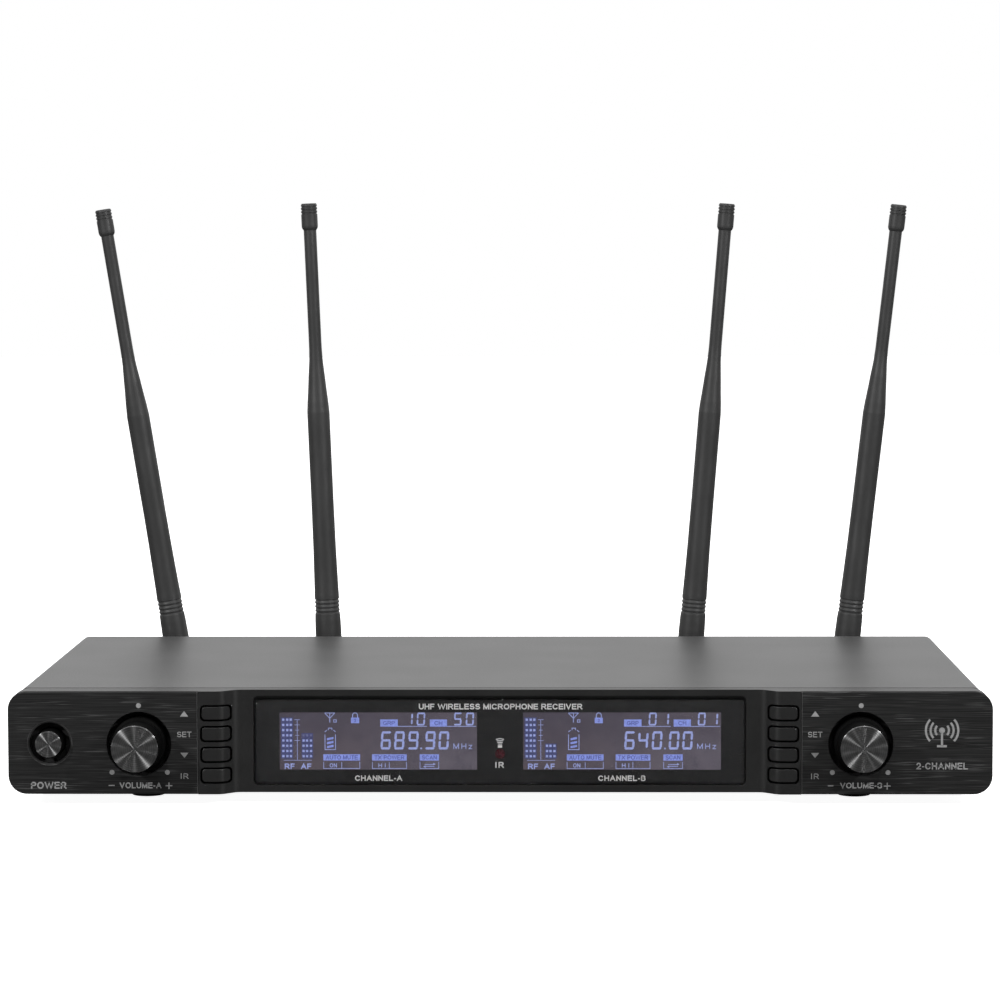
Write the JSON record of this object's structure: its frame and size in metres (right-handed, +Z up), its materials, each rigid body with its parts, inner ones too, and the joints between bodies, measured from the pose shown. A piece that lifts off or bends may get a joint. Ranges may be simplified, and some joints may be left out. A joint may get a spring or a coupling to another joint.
{
  "type": "wireless microphone receiver",
  "caption": "Low, wide wireless microphone receiver: dished front panel with display window, volume knobs, keys and power button, sheet-metal case, folding rear antennas.",
  "frame": {"origin": "on the table under the middle of the whole outline, knobs and upright antennas included", "axes": "+Z up, -Y out of the front panel, +X to the right seen from the front"},
  "size_m": [0.4214, 0.2554, 0.2605],
  "materials": {
    "case_paint": "satin powder coat",
    "panel_plastic": "fine matte moulded plastic",
    "brushed_black": "black anodised, brushed lengthwise",
    "window_acrylic": "polished clear acrylic",
    "mask_ink": "black printed film",
    "lcd_glass": "lit negative display",
    "diffuser": "white light guide",
    "circuit_board": "solder mask",
    "switch_plastic": "moulded black plastic",
    "led_red": "dark red tinted epoxy",
    "plated_steel": "zinc plated",
    "nickel": "nickel plated",
    "contact_metal": "gold plated",
    "knob_plastic": "black moulded plastic",
    "spun_aluminium": "dark spun finish with radial glints",
    "antenna_rubber": "satin black rubber",
    "foot_rubber": "matte black rubber",
    "black_screw": "black oxide",
    "socket_plastic": "glass filled black plastic",
    "capacitor_sleeve": "dark blue sleeve",
    "ribbon_grey": "grey flat cable",
    "lead_jacket": "black jacket"
  },
  "bodies": {
    "receiver": {"base_chassis": "case_paint", "top_cover": "case_paint", "front_panel": "panel_plastic", "trim_plates": "brushed_black", "display_window": "window_acrylic", "window_mask": "mask_ink", "lcd_panels": "lcd_glass", "lcd_backlights": "diffuser", "display_board": "circuit_board", "key_switches": "switch_plastic", "ir_led": "led_red", "volume_pots": "plated_steel", "pot_nuts": "plated_steel", "power_switch": "plated_steel", "main_board": "circuit_board", "rf_modules": "plated_steel", "filter_capacitors": "capacitor_sleeve", "ribbon_cable": "ribbon_grey", "coax_leads": "lead_jacket", "feet": "foot_rubber", "case_screws": "black_screw", "inner_screws": "plated_steel", "board_standoffs": "plated_steel", "bnc_jacks": "nickel", "bnc_nuts": "nickel", "xlr_outputs": "socket_plastic", "xlr_contacts": "contact_metal", "xlr_screws": "black_screw", "line_jack": "socket_plastic", "dc_jack": "socket_plastic", "socket_nuts": "nickel"},
    "volume_a": {"volume_knob_a": "knob_plastic", "knob_cap_a": "spun_aluminium", "pot_shaft_a": "plated_steel"},
    "volume_b": {"volume_knob_b": "knob_plastic", "knob_cap_b": "spun_aluminium", "pot_shaft_b": "plated_steel"},
    "power": {"power_button": "knob_plastic", "power_button_cap": "spun_aluminium"},
    "key_ir_a": {"key_ir_a": "panel_plastic"},
    "key_down_a": {"key_down_a": "panel_plastic"},
    "key_set_a": {"key_set_a": "panel_plastic"},
    "key_up_a": {"key_up_a": "panel_plastic"},
    "key_ir_b": {"key_ir_b": "panel_plastic"},
    "key_down_b": {"key_down_b": "panel_plastic"},
    "key_set_b": {"key_set_b": "panel_plastic"},
    "key_up_b": {"key_up_b": "panel_plastic"},
    "antenna_1_collar": {"antenna_collar_1": "nickel"},
    "antenna_1_elbow": {"antenna_elbow_1": "switch_plastic"},
    "antenna_1_whip": {"antenna_whip_1": "antenna_rubber"},
    "antenna_2_collar": {"antenna_collar_2": "nickel"},
    "antenna_2_elbow": {"antenna_elbow_2": "switch_plastic"},
    "antenna_2_whip": {"antenna_whip_2": "antenna_rubber"},
    "antenna_3_collar": {"antenna_collar_3": "nickel"},
    "antenna_3_elbow": {"antenna_elbow_3": "switch_plastic"},
    "antenna_3_whip": {"antenna_whip_3": "antenna_rubber"},
    "antenna_4_collar": {"antenna_collar_4": "nickel"},
    "antenna_4_elbow": {"antenna_elbow_4": "switch_plastic"},
    "antenna_4_whip": {"antenna_whip_4": "antenna_rubber"}
  },
  "joints": [
    {"name": "volume_a_turn", "type": "hinge", "parent": "receiver", "child": "volume_a", "pos_m": [-0.15435, -0.1117, 0.0268], "axis": [0, 1, 0], "range_deg": [-137, 137]},
    {"name": "volume_b_turn", "type": "hinge", "parent": "receiver", "child": "volume_b", "pos_m": [0.15435, -0.1117, 0.0268], "axis": [0, 1, 0], "range_deg": [-137, 137]},
    {"name": "power_press", "type": "slide", "parent": "receiver", "child": "power", "axis": [0, 1, 0], "range_m": [0, 0.002], "stiffness_N_per_m": 400},
    {"name": "key_ir_a_press", "type": "slide", "parent": "receiver", "child": "key_ir_a", "axis": [0, 1, 0], "range_m": [0, 0.0008], "stiffness_N_per_m": 500},
    {"name": "key_down_a_press", "type": "slide", "parent": "receiver", "child": "key_down_a", "axis": [0, 1, 0], "range_m": [0, 0.0008], "stiffness_N_per_m": 500},
    {"name": "key_set_a_press", "type": "slide", "parent": "receiver", "child": "key_set_a", "axis": [0, 1, 0], "range_m": [0, 0.0008], "stiffness_N_per_m": 500},
    {"name": "key_up_a_press", "type": "slide", "parent": "receiver", "child": "key_up_a", "axis": [0, 1, 0], "range_m": [0, 0.0008], "stiffness_N_per_m": 500},
    {"name": "key_ir_b_press", "type": "slide", "parent": "receiver", "child": "key_ir_b", "axis": [0, 1, 0], "range_m": [0, 0.0008], "stiffness_N_per_m": 500},
    {"name": "key_down_b_press", "type": "slide", "parent": "receiver", "child": "key_down_b", "axis": [0, 1, 0], "range_m": [0, 0.0008], "stiffness_N_per_m": 500},
    {"name": "key_set_b_press", "type": "slide", "parent": "receiver", "child": "key_set_b", "axis": [0, 1, 0], "range_m": [0, 0.0008], "stiffness_N_per_m": 500},
    {"name": "key_up_b_press", "type": "slide", "parent": "receiver", "child": "key_up_b", "axis": [0, 1, 0], "range_m": [0, 0.0008], "stiffness_N_per_m": 500},
    {"name": "antenna_1_bayonet", "type": "hinge", "parent": "receiver", "child": "antenna_1_collar", "pos_m": [-0.161, 0.1043, 0.027], "axis": [0, 1, 0], "range_deg": [0, 90]},
    {"name": "antenna_1_swivel", "type": "hinge", "parent": "receiver", "child": "antenna_1_elbow", "pos_m": [-0.161, 0.1083, 0.027], "axis": [0, 1, 0], "range_deg": [-80.85, 18.15]},
    {"name": "antenna_1_fold", "type": "hinge", "parent": "antenna_1_elbow", "child": "antenna_1_whip", "pos_m": [-0.161, 0.1213, 0.027], "axis": [-0.9873, 0, -0.159], "range_deg": [0, 90]},
    {"name": "antenna_2_bayonet", "type": "hinge", "parent": "receiver", "child": "antenna_2_collar", "pos_m": [-0.0875, 0.1043, 0.027], "axis": [0, 1, 0], "range_deg": [0, 90]},
    {"name": "antenna_2_swivel", "type": "hinge", "parent": "receiver", "child": "antenna_2_elbow", "pos_m": [-0.0875, 0.1083, 0.027], "axis": [0, 1, 0], "range_deg": [-17.7, 47.3]},
    {"name": "antenna_2_fold", "type": "hinge", "parent": "antenna_2_elbow", "child": "antenna_2_whip", "pos_m": [-0.0875, 0.1213, 0.027], "axis": [-0.9992, 0, -0.0401], "range_deg": [0, 90]},
    {"name": "antenna_3_bayonet", "type": "hinge", "parent": "receiver", "child": "antenna_3_collar", "pos_m": [0.0895, 0.1043, 0.027], "axis": [0, 1, 0], "range_deg": [0, 90]},
    {"name": "antenna_3_swivel", "type": "hinge", "parent": "receiver", "child": "antenna_3_elbow", "pos_m": [0.0895, 0.1083, 0.027], "axis": [0, 1, 0], "range_deg": [-49.6, 15.4]},
    {"name": "antenna_3_fold", "type": "hinge", "parent": "antenna_3_elbow", "child": "antenna_3_whip", "pos_m": [0.0895, 0.1213, 0.027], "axis": [-0.9968, 0, 0.0802], "range_deg": [0, 90]},
    {"name": "antenna_4_bayonet", "type": "hinge", "parent": "receiver", "child": "antenna_4_collar", "pos_m": [0.166, 0.1043, 0.027], "axis": [0, 1, 0], "range_deg": [0, 90]},
    {"name": "antenna_4_swivel", "type": "hinge", "parent": "receiver", "child": "antenna_4_elbow", "pos_m": [0.166, 0.1083, 0.027], "axis": [0, 1, 0], "range_deg": [-15.45, 83.55]},
    {"name": "antenna_4_fold", "type": "hinge", "parent": "antenna_4_elbow", "child": "antenna_4_whip", "pos_m": [0.166, 0.1213, 0.027], "axis": [-0.9937, 0, 0.1123], "range_deg": [0, 90]}
  ]
}
